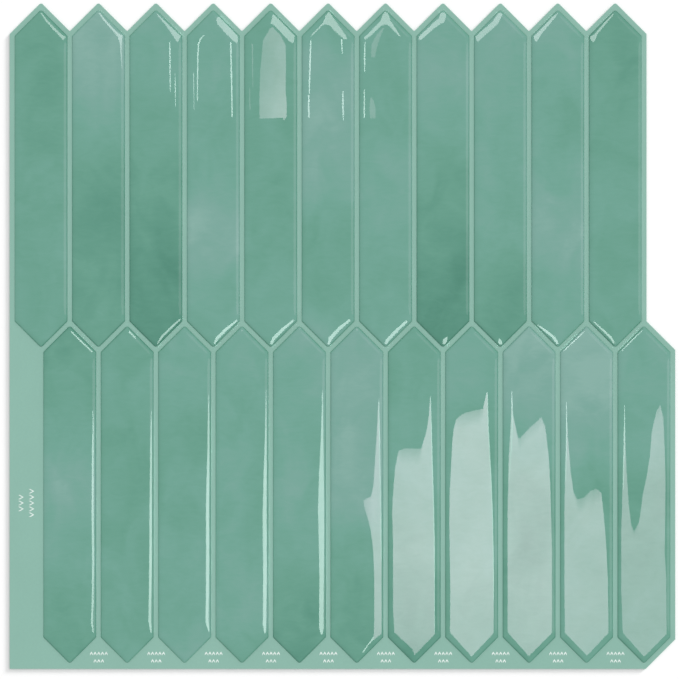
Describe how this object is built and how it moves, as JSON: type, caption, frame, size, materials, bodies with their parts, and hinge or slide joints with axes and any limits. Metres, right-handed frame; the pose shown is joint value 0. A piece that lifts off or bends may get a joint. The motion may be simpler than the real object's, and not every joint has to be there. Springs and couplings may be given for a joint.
{
  "type": "peel and stick backsplash tile",
  "caption": "Square self-adhesive sheet with two staggered rows of glossy domed green pickets on a pale green grout film, with overlap flaps at the left and bottom.",
  "frame": {"origin": "centre of the overall outline on the underside of the release liner, on the floor", "axes": "+Z out of the tile's face, +Y up along the pickets to the toothed edge, +X to the right along the rows"},
  "size_m": [0.3048, 0.3048, 0.002],
  "materials": {
    "grout_film": "satin",
    "gel_glaze": "gloss",
    "liner_paper": "matte"
  },
  "bodies": {
    "root": {"backing_sheet": "grout_film", "release_liner": "liner_paper", "picket_top_01": "gel_glaze", "picket_top_02": "gel_glaze", "picket_top_03": "gel_glaze", "picket_top_04": "gel_glaze", "picket_top_05": "gel_glaze", "picket_top_06": "gel_glaze", "picket_top_07": "gel_glaze", "picket_top_08": "gel_glaze", "picket_top_09": "gel_glaze", "picket_top_10": "gel_glaze", "picket_top_11": "gel_glaze", "picket_bottom_01": "gel_glaze", "picket_bottom_02": "gel_glaze", "picket_bottom_03": "gel_glaze", "picket_bottom_04": "gel_glaze", "picket_bottom_05": "gel_glaze", "picket_bottom_06": "gel_glaze", "picket_bottom_07": "gel_glaze", "picket_bottom_08": "gel_glaze", "picket_bottom_09": "gel_glaze", "picket_bottom_10": "gel_glaze", "picket_bottom_11": "gel_glaze"}
  },
  "joints": []
}
